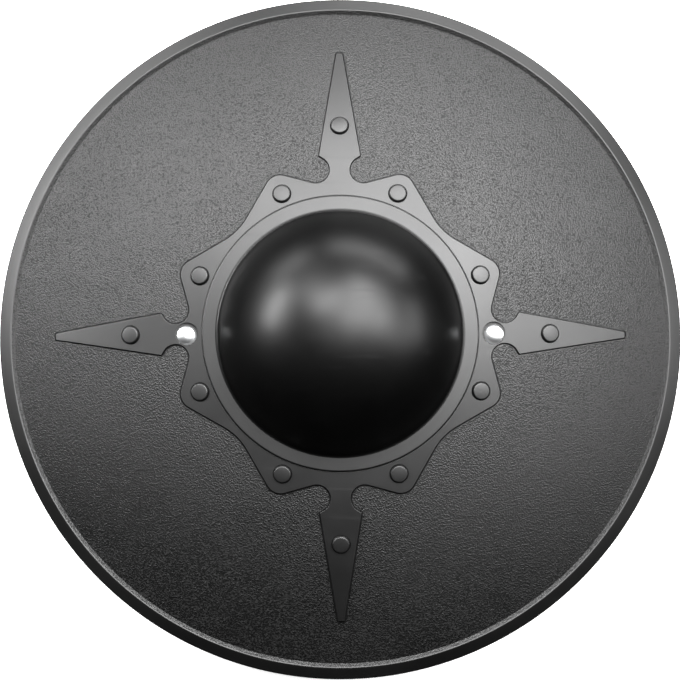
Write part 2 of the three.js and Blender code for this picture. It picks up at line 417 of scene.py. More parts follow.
    @staticmethod
    def carve(piece: Object, tool: Object, how: Cut) -> None:
        """Joins a tool to a piece or cuts it away, and deletes the tool."""
        Bench.take(piece)
        modifier = piece.modifiers.new("carve", "BOOLEAN")
        modifier.operation = how.value
        modifier.solver = "EXACT"
        modifier.object = tool
        bpy.ops.object.modifier_apply(modifier=modifier.name)
        bpy.data.objects.remove(tool)

    @staticmethod
    def drop_strays(piece: Object) -> None:
        """Deletes loose bits that cuts and joins left, all but the part with the highest vertex."""
        highest = max(piece.data.vertices, key=lambda vertex: vertex.co.z).index
        Bench.edit(piece, "DESELECT")
        Bench.choose(piece, "VERT", lambda item: item.index == highest)
        bpy.ops.mesh.select_linked()
        bpy.ops.mesh.select_all(action="INVERT")
        bpy.ops.mesh.delete(type="VERT")
        Bench.clear()

    @staticmethod
    def bevel_edges(piece: Object, width: float, segments: int, wanted: Callable[[MeshEdge], bool]) -> None:
        """Rounds the edges of a piece that meet a test."""
        Bench.edit(piece, "DESELECT")
        Bench.choose(piece, "EDGE", wanted)
        bpy.ops.mesh.bevel(offset=width, segments=segments, profile=0.5, affect="EDGES", clamp_overlap=True)
        bpy.ops.mesh.select_all(action="DESELECT")
        Bench.clear()

    @staticmethod
    def bevel_rim(piece: Object, width: float, segments: int, level: float, side: int = 1) -> None:
        """Rounds the edges of a flat end.

        Args:
            piece: the piece, with its place in its mesh.
            width: width of the rounding.
            segments: number of steps across it.
            level: height of the flat end.
            side: 1 for an end that faces up, -1 for one that faces down.
        """
        vertices = piece.data.vertices
        limit = side * level - HAIR
        Bench.bevel_edges(
            piece, width, segments, lambda edge: all(side * vertices[v].co.z > limit for v in edge.vertices)
        )

    @staticmethod
    def smooth(piece: Object, angle: float = 32) -> None:
        """Shades a piece smooth, with its larger faces leading, but for edges sharper than an angle."""
        Bench.take(piece)
        bpy.ops.object.shade_smooth_by_angle(angle=math.radians(angle))
        modifier = piece.modifiers.new("weigh", "WEIGHTED_NORMAL")
        modifier.mode = "FACE_AREA"
        modifier.keep_sharp = True
        bpy.ops.object.modifier_apply(modifier=modifier.name)
        Bench.clear()


class NodeSheet:
    """A node tree with short ways to add and link nodes."""

    def __init__(self, tree: NodeTree) -> None:
        """Keeps the tree."""
        self.tree = tree

    def add(self, kind: str, **values) -> Node:
        """Adds a node and sets or links its values.

        Args:
            kind: the node's type name.
            values: node properties, or input sockets by name with underscores for spaces. A socket as a
                value is linked.

        Returns:
            The new node.
        """
        node = self.tree.nodes.new(kind)
        for key, value in values.items():
            if hasattr(node, key):
                setattr(node, key, value)
                continue
            socket = node.inputs[key.replace("_", " ")]
            if isinstance(value, NodeSocket):
                self.tree.links.new(value, socket)
            else:
                socket.default_value = value
        return node

    def math(self, operation: str, first: Value, second: Value = 0.0) -> NodeSocket:
        """Adds a sum on two values or sockets and returns its result."""
        node = self.tree.nodes.new("ShaderNodeMath")
        node.operation = operation
        for socket, value in zip(node.inputs, (first, second)):
            if isinstance(value, NodeSocket):
                self.tree.links.new(value, socket)
            else:
                socket.default_value = value
        return node.outputs[0]

    def remap(self, value: NodeSocket, source: tuple, target: tuple) -> NodeSocket:
        """Maps a value smoothly from one range to another and returns the result."""
        node = self.add("ShaderNodeMapRange", interpolation_type="SMOOTHSTEP", Value=value)
        for name, number in zip(("From Min", "From Max", "To Min", "To Max"), (*source, *target)):
            node.inputs[name].default_value = number
        return node.outputs["Result"]


class EffectGroup(ABC):
    """Node group shared by materials, from values to values. Each effect says how it is wired."""

    NAME = ""
    INPUTS: dict[str, str] = {}
    OUTPUTS: tuple[str, ...] = ()

    @classmethod
    def get(cls) -> NodeTree:
        """Returns the group, built on first use."""
        return bpy.data.node_groups.get(cls.NAME) or cls._build()

    @classmethod
    def _build(cls) -> NodeTree:
        """Makes the group's sockets, its nodes, and links its results."""
        tree = bpy.data.node_groups.new(cls.NAME, "ShaderNodeTree")
        for name, kind in cls.INPUTS.items():
            tree.interface.new_socket(name, in_out="INPUT", socket_type=kind)
        for name in cls.OUTPUTS:
            tree.interface.new_socket(name, in_out="OUTPUT", socket_type="NodeSocketFloat")
        sheet = NodeSheet(tree)
        results = cls._wire(tree, sheet, sheet.add("NodeGroupInput"))
        target = sheet.add("NodeGroupOutput")
        for name, result in zip(cls.OUTPUTS, results):
            tree.links.new(result, target.inputs[name])
        return tree

    @classmethod
    @abstractmethod
    def _wire(cls, tree: NodeTree, sheet: NodeSheet, source: Node) -> tuple[NodeSocket, ...]:
        """Wires the effect.

        Args:
            tree: the group's tree.
            sheet: short ways to add nodes to it.
            source: the group's input node.

        Returns:
            The results, in the order of the outputs.
        """


class GrainGroup(EffectGroup):
    """Fine pebble grain: low rounded grains with narrow creases between them."""

    NAME = "pebble grain"
    INPUTS = {"Vector": "NodeSocketVector", "Cells per metre": "NodeSocketFloat"}
    OUTPUTS = ("Height", "Crease")
    WANDER = 0.9
    SOFTNESS = 0.35
    RIPPLE = 0.55
    DOME_SPAN = (0.1, 0.75)
    CREASE_SPAN = (0.45, 0.8)

    @classmethod
    def _wire(cls, tree: NodeTree, sheet: NodeSheet, source: Node) -> tuple[NodeSocket, ...]:
        """Wires a place and a count of cells to a height and a mask of the creases."""
        scaled = sheet.add("ShaderNodeVectorMath", operation="SCALE")
        tree.links.new(source.outputs["Vector"], scaled.inputs[0])
        tree.links.new(source.outputs["Cells per metre"], scaled.inputs["Scale"])
        place = scaled.outputs[0]
        wander = sheet.add("ShaderNodeTexNoise", Vector=place, Scale=cls.WANDER, Detail=2.0, Roughness=0.5)
        pushed = sheet.add("ShaderNodeVectorMath", operation="MULTIPLY_ADD")
        tree.links.new(wander.outputs["Color"], pushed.inputs[0])
        pushed.inputs[1].default_value = (cls.WANDER,) * 3
        tree.links.new(place, pushed.inputs[2])
        cells = sheet.add(
            "ShaderNodeTexVoronoi", feature="SMOOTH_F1", Vector=pushed.outputs[0], Scale=1.0, Smoothness=cls.SOFTNESS
        )
        domes = sheet.remap(cells.outputs["Distance"], cls.DOME_SPAN, (1, 0))
        fine = sheet.add("ShaderNodeTexNoise", Vector=place, Scale=2.2, Detail=3.0, Roughness=0.6)
        ripple = sheet.math("MULTIPLY", fine.outputs["Fac"], cls.RIPPLE)
        height = sheet.math("ADD", domes, ripple)
        crease = sheet.remap(cells.outputs["Distance"], cls.CREASE_SPAN, (0, 1))
        return height, crease


class MottleGroup(EffectGroup):
    """Slow unevenness in a moulded surface, with a few faint rubbed streaks."""

    NAME = "moulding mottle"
    INPUTS = {"Vector": "NodeSocketVector"}
    OUTPUTS = ("Cloud", "Streaks", "Fine height")
    CLOUDS_PER_METRE = 14.0
    SPECKS_PER_METRE = 1700.0
    STREAK_TURN = (0.2, 0.1, 0.7)
    STREAKS_PER_METRE = (12, 190, 60)
    CLOUD_SPAN = (0.3, 0.7)
    STREAK_SPAN = (0.62, 0.74)

    @classmethod
    def _wire(cls, tree: NodeTree, sheet: NodeSheet, source: Node) -> tuple[NodeSocket, ...]:
        """Wires a place to two masks between 0 and 1 and a fine height."""
        place = source.outputs["Vector"]
        cloud = sheet.add("ShaderNodeTexNoise", Vector=place, Scale=cls.CLOUDS_PER_METRE, Detail=4.0, Roughness=0.6)
        stretch, turn = cls.STREAKS_PER_METRE, cls.STREAK_TURN
        stretched = sheet.add("ShaderNodeMapping", Vector=place, Rotation=turn, Scale=stretch)
        rubbed = sheet.add("ShaderNodeTexNoise", Vector=stretched.outputs[0], Scale=1.0, Detail=3.0)
        streaks = sheet.remap(rubbed.outputs["Fac"], cls.STREAK_SPAN, (0, 1))
        fine = sheet.add("ShaderNodeTexNoise", Vector=place, Scale=cls.SPECKS_PER_METRE, Detail=2.0, Roughness=0.6)
        return sheet.remap(cloud.outputs["Fac"], cls.CLOUD_SPAN, (0, 1)), streaks, fine.outputs["Fac"]


class Finish(ABC):
    """A finish with a name. Each kind says how its shader is wired on the shared mottle."""

    name: str

    @abstractmethod
    def _shader(self, sheet: NodeSheet, place: NodeSocket, mottle: Node) -> Node:
        """Wires the shader.

        Args:
            sheet: short ways to add nodes to the material.
            place: the place on the piece.
            mottle: the node with the moulding mottle.

        Returns:
            The shader node.
        """

    def material(self) -> Material:
        """Builds the material.

        Returns:
            A new material with its nodes.
        """
        material = bpy.data.materials.new(self.name)
        material.use_nodes = True
        sheet = NodeSheet(material.node_tree)
        material.node_tree.nodes.clear()
        place = sheet.add("ShaderNodeTexCoord").outputs["Object"]
        mottle = sheet.add("ShaderNodeGroup", node_tree=MottleGroup.get(), Vector=place)
        shader = self._shader(sheet, place, mottle)
        output = sheet.add("ShaderNodeOutputMaterial")
        material.node_tree.links.new(shader.outputs[0], output.inputs["Surface"])
        return material

    @staticmethod
    def _blend(sheet: NodeSheet, tone: Tone, change: float, mask: NodeSocket) -> NodeSocket:
        """Blends a tone by a mask with the same tone times a change, and returns the result."""
        blend = sheet.add("ShaderNodeMix", data_type="RGBA")
        blend.inputs["A"].default_value = (*tone, 1)
        blend.inputs["B"].default_value = (*(change * c for c in tone), 1)
        sheet.tree.links.new(mask, blend.inputs["Factor"])
        return blend.outputs["Result"]


@dataclass(frozen=True)
class MouldedPlastic(Finish):
    """Black moulded plastic, smooth or with the pebble grain."""

    name: str
    tone: Tone = (0.0003, 0.0003, 0.0003)
    roughness: float = 0.42
    reflectance: float = 0.5
    cloud_lift: float = 1.5
    roughness_spread: float = 0.05
    fine_depth: float = 0.008 * MM
    grain_depth: float = 0.0
    grain_cell: float = 1.2 * MM
    crease_dullness: float = 0.42

    def _shader(self, sheet: NodeSheet, place: NodeSocket, mottle: Node) -> Node:
        """Wires black plastic with uneven gloss and, where it has a depth, the grain."""
        spread = sheet.math("MULTIPLY", mottle.outputs["Cloud"], self.roughness_spread)
        rubbed = sheet.math("MULTIPLY", mottle.outputs["Streaks"], self.roughness_spread)
        roughness = sheet.math("ADD", sheet.math("ADD", spread, rubbed), self.roughness)
        tone = self._blend(sheet, self.tone, self.cloud_lift, mottle.outputs["Cloud"])
        normal = sheet.add("ShaderNodeBump", Height=mottle.outputs["Fine height"], Distance=self.fine_depth)
        if self.grain_depth:
            cells = 1 / self.grain_cell
            grain = sheet.add("ShaderNodeGroup", node_tree=GrainGroup.get(), Vector=place, Cells_per_metre=cells)
            height, under = grain.outputs["Height"], normal.outputs[0]
            normal = sheet.add("ShaderNodeBump", Height=height, Normal=under, Distance=self.grain_depth)
            dull = sheet.math("MULTIPLY", grain.outputs["Crease"], self.crease_dullness)
            roughness = sheet.math("ADD", roughness, dull)
        return sheet.add(
            "ShaderNodeBsdfPrincipled",
            Base_Color=tone,
            Roughness=roughness,
            Normal=normal.outputs[0],
            Specular_IOR_Level=self.reflectance,
        )


@dataclass(frozen=True)
class PlatedSteel(Finish):
    """Bright plating on a bolt, washer or nut, with faint turning marks and dull spots."""

    name: str
    tone: Tone = (0.86, 0.87, 0.88)
    roughness: float = 0.28
    roughness_spread: float = 0.06
    streak_dimming: float = 0.82
    mark_depth: float = 0.004 * MM

    def _shader(self, sheet: NodeSheet, place: NodeSocket, mottle: Node) -> Node:
        """Wires bright metal with dull clouds and streaks."""
        dull = sheet.math("MULTIPLY", mottle.outputs["Cloud"], self.roughness_spread)
        roughness = sheet.math("ADD", dull, self.roughness)
        tone = self._blend(sheet, self.tone, self.streak_dimming, mottle.outputs["Streaks"])
        marks = sheet.add("ShaderNodeBump", Height=mottle.outputs["Fine height"], Distance=self.mark_depth)
        return sheet.add(
            "ShaderNodeBsdfPrincipled",
            Base_Color=tone,
            Roughness=roughness,
            Normal=marks.outputs[0],
            Metallic=1,
        )


@dataclass
class StarPlate:
    """Raised star with four spear-shaped arms and eight lobes, moulded on the face."""

    sizes: ShieldSizes
    arm_count: int = 4
    tip_reach: float = 222.9 * MM
    tip_half_width: float = 3.1 * MM
    tip_rounding: float = 1.2 * MM
    shoulder_reach: float = 137.4 * MM
    shoulder_half_width: float = 16.7 * MM
    shoulder_rounding: float = 1.2 * MM
    notch_ledge: float = 0.2 * MM
    notch_radius: float = 10.1 * MM
    neck_half_width: float = 8.4 * MM
    lobe_reach: float = 120.7 * MM
    lobe_angle: float = 22.5
    lobe_radius: float = 12.2 * MM
    valley_reach: float = 113.2 * MM
    valley_radius: float = 46.6 * MM
    hub_radius: float = 100.5 * MM
    hub_sides: int = 128
    draft: float = 0.75 * MM
    edge_radius: float = 0.25 * MM
    edge_segments: int = 3
    chord: float = 1.3 * MM
    grid: float = 9 * MM

    def _arm(self) -> list[Circle]:
        """Circles of one side of the arm along +X, from the tip inwards."""
        tip = Vector((self.tip_reach - self.tip_rounding, self.tip_half_width - self.tip_rounding))
        rounding = self.shoulder_rounding
        shoulder = Vector((self.shoulder_reach + rounding, self.shoulder_half_width - rounding))
        inwards = self.shoulder_reach - self.notch_ledge - self.notch_radius
        notch = Vector((inwards, self.neck_half_width + self.notch_radius))
        lobe = Matrix.Rotation(math.radians(self.lobe_angle), 2) @ Vector((self.lobe_reach, 0))
        return [
            Circle(tip, self.tip_rounding),
            Circle(shoulder, rounding),
            Circle(notch, -self.notch_radius),
            Circle(lobe, self.lobe_radius),
        ]

    def _circles(self) -> list[Circle]:
        """All circles of the outline, anticlockwise."""
        left = self._arm()
        right = [Circle(Vector((c.centre.x, -c.centre.y)), c.radius) for c in reversed(left)]
        middle = Matrix.Rotation(math.pi / self.arm_count, 2) @ Vector((self.valley_reach + self.valley_radius, 0))
        section = [*right, *left, Circle(middle, -self.valley_radius)]
        turns = [Matrix.Rotation(math.tau * arm / self.arm_count, 2) for arm in range(self.arm_count)]
        return [Circle(turn @ c.centre, c.radius) for turn in turns for c in section]

    @staticmethod
    def _normal_bearing(first: Circle, second: Circle) -> float:
        """Bearing of the outward normal of the line that touches two circles."""
        along = second.centre - first.centre
        swing = math.asin((first.radius - second.radius) / along.length)
        return math.atan2(along.y, along.x) - math.pi / 2 + swing

    def outline(self, grow: float = 0.0) -> list[Vector]:
        """Points of the outline.

        Args:
            grow: distance by which the outline is moved outwards.

        Returns:
            Points in the plane, anticlockwise, with arcs in short chords.
        """
        circles = [Circle(c.centre, c.radius + grow) for c in self._circles()]
        points = []
        for index, circle in enumerate(circles):
            start = self._normal_bearing(circles[index - 1], circle)
            end = self._normal_bearing(circle, circles[(index + 1) % len(circles)])
            sweep = (end - start + math.pi) % math.tau - math.pi
            steps = max(4, round(abs(sweep * circle.radius) / self.chord))
            for step in range(steps + 1):
                bearing = start + sweep * step / steps
                out = Vector((math.cos(bearing), math.sin(bearing))) * circle.radius
                points.append((circle.centre + out).to_3d())
        return points

    def build(self) -> Object:
        """Models the plate: flat outline, sloping wall, rounded edge, hole for the boss, then the dish.

        Returns:
            The plate, laid on the face.
        """
        sizes = self.sizes
        plate = Bench.line("star_plate", [p - AXIS_Z * sizes.root for p in self.outline()], closed=True)
        bpy.ops.mesh.extrude_region_move(TRANSFORM_OT_translate={"value": AXIS_Z * sizes.root})
        bpy.ops.mesh.inset(thickness=self.draft, depth=sizes.plate_height)
        Bench.face_out()
        Bench.bevel_rim(plate, self.edge_radius, self.edge_segments, sizes.plate_height)
        return self._dished(plate)

    def groove(self) -> Object:
        """Models the tool that cuts a narrow groove round the plate into the face.

        Returns:
            The tool, laid on the face.
        """
        depth = AXIS_Z * self.sizes.groove_depth
        outline = self.outline(self.sizes.groove_width)
        tool = Bench.line("star_groove", [p - depth for p in outline], closed=True)
        Bench.raise_up(2 * depth)
        return self._dished(tool)

    def _dished(self, slab: Object) -> Object:
        """Opens a flat slab for the boss and lays it on the dish."""
        hub = Bench.drum("hub_hole", self.hub_radius, 8 * self.sizes.plate_height, (0, 0, 0), self.hub_sides)
        Bench.carve(slab, hub, Cut.REMOVE)
        self._grid(slab)
        for vertex in slab.data.vertices:
            vertex.co.z += self.sizes.face(vertex.co.xy.length)
        return slab

    def _grid(self, slab: Object) -> None:
        """Cuts a slab by a square grid of planes, so that it can follow the dish."""
        Bench.edit(slab)
        lines = math.ceil(self.tip_reach / self.grid)
        for index in range(-lines, lines + 1):
            for normal in (Vector((1, 0, 0)), Vector((0, 1, 0))):
                bpy.ops.mesh.select_all(action="SELECT")
                bpy.ops.mesh.bisect(plane_co=normal * index * self.grid, plane_no=normal)
        Bench.clear()


@dataclass
class Rivets:
    """Moulded rivet heads, square to the face, on the lobes and the arms of the star."""

    sizes: ShieldSizes
    radius: float = 7.1 * MM
    height: float = 2.1 * MM
    draft: float = 0.8 * MM
    edge: float = 0.7 * MM
    edge_segments: int = 4
    crown: float = 0.25 * MM
    crown_shares: tuple[float, ...] = (0.4, 0.3, 0.2, 0.1)
    ring_reach: float = 117.1 * MM
    arm_reach: float = 162.4 * MM
    ring_angle: float = 22.5
    arm_count: int = 4
    sides: int = 48

    def build(self) -> Object:
        """Models one head and copies it to every place.

        Returns:
            All heads as one mesh.
        """
        return self._spread(self._head())

    def grooves(self) -> Object:
        """Models the drums that cut a narrow groove round every head into the plate.

        Returns:
            All drums as one mesh.
        """
        s = self.sizes
        radius, depth = self.radius + s.groove_width, 2 * s.groove_depth
        return self._spread(Bench.drum("rivet_groove", radius, depth, (0, 0, 0), self.sides))

    def _spread(self, model: Object) -> Object:
        """Copies a model to every rivet's place and joins the copies."""
        step = 360 / self.arm_count
        places = [(self.arm_reach, arm * step) for arm in range(self.arm_count)]
        for aside in (-self.ring_angle, self.ring_angle):
            places += [(self.ring_reach, arm * step + aside) for arm in range(self.arm_count)]
        copies = [Bench.copy(model, f"{model.name}_{index}", self._seat(*at)) for index, at in enumerate(places)]
        bpy.data.objects.remove(model)
        return Bench.join(copies)

    def _head(self) -> Object:
        """Models one head on the origin: a low drum with a sloping wall and a hint of a crown."""
        depth = self.sizes.root + self.height
        Bench.clear()
        bpy.ops.mesh.primitive_cone_add(
            vertices=self.sides,
            radius1=self.radius + self.draft * self.sizes.root / self.height,
            radius2=self.radius - self.draft,
            depth=depth,
            location=AXIS_Z * (self.height - depth / 2),
        )
        head = Bench.named("rivet")
        Bench.bevel_rim(head, self.edge, self.edge_segments, self.height)
        Bench.edit(head, "DESELECT")
        Bench.choose(head, "FACE", lambda face: face.center.z > self.height - HAIR)
        for share in self.crown_shares:
            bpy.ops.mesh.inset(thickness=self.radius / 6)
            bpy.ops.transform.translate(value=(0, 0, share * self.crown))
        Bench.clear()
        return head

    def _seat(self, reach: float, bearing: float) -> Matrix:
        """Matrix that seats a head on the plate at a reach and a bearing in degrees."""
        lean = math.asin(reach / self.sizes.face_radius)
        seat = Vector((reach, 0, self.sizes.face(reach) + self.sizes.plate_height))
        turn = Matrix.Rotation(math.radians(bearing), 4, "Z")
        return turn @ Matrix.Translation(seat) @ Matrix.Rotation(lean, 4, "Y")


@dataclass
class Shell:
    """The one-piece moulding: boss, collar, face, rim, star, rivet heads, recesses and grip seats."""

    sizes: ShieldSizes
    star: StarPlate
    rivets: Rivets
    finishes: dict[Skin, MouldedPlastic]
    turn_steps: int = 256
    boss_steps: int = 40
    face_steps: int = 30
    back_steps: int = 14
    arc_steps: int = 5
    band_steps: int = 8
    fillet_end: float = 265
    collar_start: float = 85
    neck_side: float = 6.2 * MM
    pad_sides: int = 64
    pad_edge: float = 0.6 * MM
    recess_sides: int = 96
    recess_tool: float = 10 * MM
    groove_overlap: float = 0.1 * MM
    groove_over: float = 0.3 * MM

    def build(self) -> Object:
        """Models the shell and gives each zone its finish.

        Returns:
            The finished piece.
        """
        shell = Bench.turn("targe_shell", self._profile(), self.turn_steps)
        for skin in Skin:
            shell.data.materials.append(self.finishes[skin].material())
        for face in shell.data.polygons:
            face.material_index = self._zone(face.center).value
        steps = [
            (self.star.groove, Cut.REMOVE),
            (self.star.build, Cut.JOIN),
            (self._collar_groove, Cut.REMOVE),
            (self.rivets.grooves, Cut.REMOVE),
            (self.rivets.build, Cut.JOIN),
        ]
        for side in Side:
            steps += [
                (partial(self._pad, side), Cut.JOIN),
                (partial(self._recess, side), Cut.REMOVE),
                (partial(self._square_hole, side), Cut.REMOVE),
            ]
        for model, how in steps:
            part = model()
            self._dress(part, shell)
            Bench.carve(shell, part, how)
        Bench.drop_strays(shell)
        Bench.smooth(shell)
        hand_over(shell, "shell")
        return shell

    def _profile(self) -> list[Vector]:
        """Cross-section of the shell, over the face and round the lip to the hollow of the boss."""
        s = self.sizes
        slope_top = s.outer_radius - s.band_width
        band_top = s.face(s.slope_foot) + s.slope_rise
        band_end = band_top - s.band_drop
        band_middle = (slope_top + s.outer_radius - s.rim_edge_radius) / 2
        band = Vector((band_middle, 0, (band_top + band_end) / 2 + s.band_bulge))
        fillet_z = s.collar_peak + s.boss_fillet
        fillet_r = math.sqrt((s.boss_sphere + s.boss_fillet) ** 2 - (fillet_z - s.boss_z) ** 2)
        boss_end = bearing_of(fillet_r, fillet_z, s.boss_z)
        hollow = s.boss_sphere - s.wall
        mouth = meet(s.sphere_z, s.back_radius + s.mouth_radius, s.boss_z, hollow + s.mouth_radius)
        hollow_end = bearing_of(*mouth, s.boss_z)
        back_end = bearing_of(*mouth, s.sphere_z)
        lip_r = s.lip_inner - s.lip_fillet
        lip_z = s.sphere_z + math.sqrt((s.back_radius - s.lip_fillet) ** 2 - lip_r**2)
        lip_end = bearing_of(lip_r, lip_z, s.sphere_z)
        edge, rim = s.collar_edge, s.rim_edge_radius
        rim_edge = arc((s.outer_radius - rim, band_end - rim), rim, s.band_end_angle, 0, self.arc_steps)
        outer_lip = arc((s.outer_radius - s.lip_edge, s.lip_edge), s.lip_edge, 0, -90, self.arc_steps)
        inner_lip = arc((s.lip_inner + s.lip_edge, s.lip_edge), s.lip_edge, -90, -180, self.arc_steps)
        slope = Vector((slope_top, 0, band_top))
        return [
            *arc((0, s.boss_z), s.boss_sphere, 90, boss_end, self.boss_steps),
            *arc((fillet_r, fillet_z), s.boss_fillet, boss_end + 180, self.fillet_end, self.arc_steps)[1:],
            *arc((s.collar_radius - edge, s.collar_top - edge), edge, self.collar_start, 0, self.arc_steps),
            *self._rings(s.face, s.collar_radius, s.slope_foot, self.face_steps),
            *self._corner(Vector((s.slope_foot, 0, s.face(s.slope_foot))), slope, band, s.slope_edge),
            *self._crown(slope, rim_edge[0], s.band_bulge, self.band_steps)[1:],
            *rim_edge,
            *outer_lip,
            *inner_lip,
            *arc((lip_r, lip_z), s.lip_fillet, 0, lip_end, self.arc_steps),
            *arc((0, s.sphere_z), s.back_radius, lip_end, back_end, self.back_steps)[1:],
            *arc(mouth, s.mouth_radius, back_end + 180, hollow_end + 180, self.arc_steps)[1:],
            *arc((0, s.boss_z), hollow, hollow_end, 90, self.boss_steps)[1:],
        ]

    @staticmethod
    def _crown(start: Vector, end: Vector, rise: float, steps: int) -> list[Vector]:
        """Points between two ends of a gently arched line, the ends left out."""
        shares = [i / steps for i in range(1, steps)]
        across = (end - start).normalized()
        up = Vector((-across.z, 0, across.x))
        return [start.lerp(end, t) + up * (4 * rise * t * (1 - t)) for t in shares]

    @staticmethod
    def _rings(height: Callable[[float], float], start: float, end: float, steps: int) -> list[Vector]:
        """Points of a curve by its height, evenly spaced between two radii."""
        radii = [start + (end - start) * i / steps for i in range(steps + 1)]
        return upright((r, height(r)) for r in radii)

    @staticmethod
    def _corner(before: Vector, corner: Vector, after: Vector, size: float) -> list[Vector]:
        """Rounds a corner between two points with a curve that starts and ends a size away from it."""
        start = corner + (before - corner).normalized() * size
        end = corner + (after - corner).normalized() * size
        shares = [i / 4 for i in range(5)]
        return [start.lerp(corner, t).lerp(corner.lerp(end, t), t) for t in shares]

    def _zone(self, centre: Vector) -> Skin:
        """Finish of the turned body at a point of its surface."""
        s = self.sizes
        radius = centre.xy.length
        middle = s.boss_sphere - s.wall / 2
        if radius < s.boss_radius + s.boss_fillet and centre.z > s.face(radius):
            outside = math.hypot(radius, centre.z - s.boss_z) > middle
            return Skin.BOSS if outside else Skin.BACK
        if centre.z < (s.face(radius) + s.back(min(radius, s.lip_inner))) / 2 - s.slope_rise:
            return Skin.BACK if radius < s.outer_radius - s.lip_edge else Skin.SATIN
        if s.collar_radius < radius < s.slope_foot + s.slope_width - s.slope_edge:
            return Skin.FIELD
        return Skin.SATIN

    def _collar_groove(self) -> Object:
        """Ring that cuts a narrow groove into the plate at the foot of the collar."""
        s = self.sizes
        inner, outer = s.collar_radius - self.groove_overlap, s.collar_radius + s.groove_width
        low = s.face(outer) + s.plate_height - s.groove_depth
        high = low + s.groove_depth + self.groove_over
        corners = ((inner, low), (outer, low), (outer, high), (inner, high), (inner, low))
        return Bench.turn("collar_groove", upright(corners), self.turn_steps)

    def _pad(self, side: Side) -> Object:
        """Round seat for the grip on the back, with a rounded lower edge."""
        s = self.sizes
        top = s.back(s.bolt_reach) + s.root
        depth = top - s.pad_bottom
        place = (side.value * s.bolt_reach, -s.bolt_drop, top - depth / 2)
        pad = Bench.drum(f"pad_{side.label}", s.pad_radius, depth, place, self.pad_sides)
        Bench.bevel_rim(pad, self.pad_edge, 3, s.pad_bottom, side=-1)
        return pad

    def _recess(self, side: Side) -> Object:
        """Tool that cuts the round recess of a bolt into the face."""
        s = self.sizes
        place = (side.value * s.bolt_reach, 0, s.recess_floor + self.recess_tool / 2)
        name = f"recess_{side.label}"
        return Bench.drum(name, s.recess_radius, self.recess_tool, place, self.recess_sides)

    def _square_hole(self, side: Side) -> Object:
        """Tool that cuts the square hole for a bolt's neck."""
        s = self.sizes
        hole = self.neck_side + 2 * s.gap
        height = s.recess_floor - s.pad_bottom + 2 * s.root
        place = (side.value * s.bolt_reach, -s.bolt_drop, (s.recess_floor + s.pad_bottom) / 2)
        return Bench.block(f"square_hole_{side.label}", (hole, hole, height), place)

    @staticmethod
    def _dress(part: Object, shell: Object) -> None:
        """Gives a part the shell's materials, satin all over."""
        part.data.materials.clear()
        for material in shell.data.materials:
            part.data.materials.append(material)
        for face in part.data.polygons:
            face.material_index = Skin.SATIN.value


@dataclass
class Grip:
    """Handle with two flat lugs, across the back of the boss."""

    sizes: ShieldSizes
    finish: MouldedPlastic
    lug_thickness: float = 8 * MM
    bar_width: float = 24 * MM
    half_width: float = 15 * MM
    half_height: float = 13 * MM
    straight: float = 46 * MM
    taper: float = 34 * MM
    end_scale: float = 0.36
    taper_steps: int = 10
    handle_steps: int = 64
    hole_radius: float = 3.3 * MM
    hole_sides: int = 48
    lug_steps: int = 40
    edge: float = 1.2 * MM
    edge_segments: int = 4

    @property
    def top(self) -> float:
        """Height of the lugs' upper face, a gap below their seats."""
        return self.sizes.pad_bottom - self.sizes.gap

    def build(self) -> Object:
        """Models the grip.

        Returns:
            The finished piece.
        """
        s = self.sizes
        grip = self._lugs()
        Bench.carve(grip, self._handle(), Cut.JOIN)
        for side in Side:
            place = (side.value * s.bolt_reach, -s.bolt_drop, self.top - self.lug_thickness / 2)
            hole = Bench.drum("lug_hole", self.hole_radius, 2 * self.lug_thickness, place, self.hole_sides)
            Bench.carve(grip, hole, Cut.REMOVE)
        grip.data.materials.clear()
        grip.data.materials.append(self.finish.material())
        Bench.smooth(grip)
        hand_over(grip, "grip")
        return grip

    def _lugs(self) -> Object:
        """Flat bar with a round lug at each end and rounded edges."""
        s = self.sizes
        half = self.bar_width / 2
        swing = math.degrees(math.asin(half / s.pad_radius))
        right = arc((s.bolt_reach, 0), s.pad_radius, swing - 180, 180 - swing, self.lug_steps)
        left = arc((-s.bolt_reach, 0), s.pad_radius, swing, 360 - swing, self.lug_steps)
        bottom = self.top - self.lug_thickness
        points = [Vector((p.x, p.z - s.bolt_drop, bottom)) for p in (*right, *left)]
        lugs = Bench.line("targe_grip", points, closed=True)
        Bench.raise_up(AXIS_Z * self.lug_thickness)
        vertices = lugs.data.vertices

        def level(edge: MeshEdge) -> bool:
            """Whether an edge lies in the upper or the lower face."""
            first, second = (vertices[v].co.z for v in edge.vertices)
            return abs(first - second) < HAIR

        Bench.bevel_edges(lugs, self.edge, self.edge_segments, level)
        return lugs

    def _handle(self) -> Object:
        """Oval handle that runs down to the bar at both ends, drawn as a line and turned."""
        end = self.straight + self.taper
        shares = [i / self.taper_steps for i in range(self.taper_steps + 1)]
        half = []
        for t in shares:
            shrink = (1 + self.end_scale) / 2 + (1 - self.end_scale) / 2 * math.cos(t * math.pi)
            half.append((shrink, self.straight + t * self.taper))
        points = [(0, -end), *((r, -x) for r, x in reversed(half)), *half, (0, end)]
        line = upright((r * self.half_width, x) for r, x in points)
        handle = Bench.turn("handle", line, self.handle_steps)
        place = Matrix.Translation((0, -self.sizes.bolt_drop, self.top - self.lug_thickness / 2))
        flatten = Matrix.Diagonal((1, 1, self.half_height / self.half_width, 1))
        return Bench.place(handle, place @ flatten @ Matrix.Rotation(math.pi / 2, 4, "Y"))


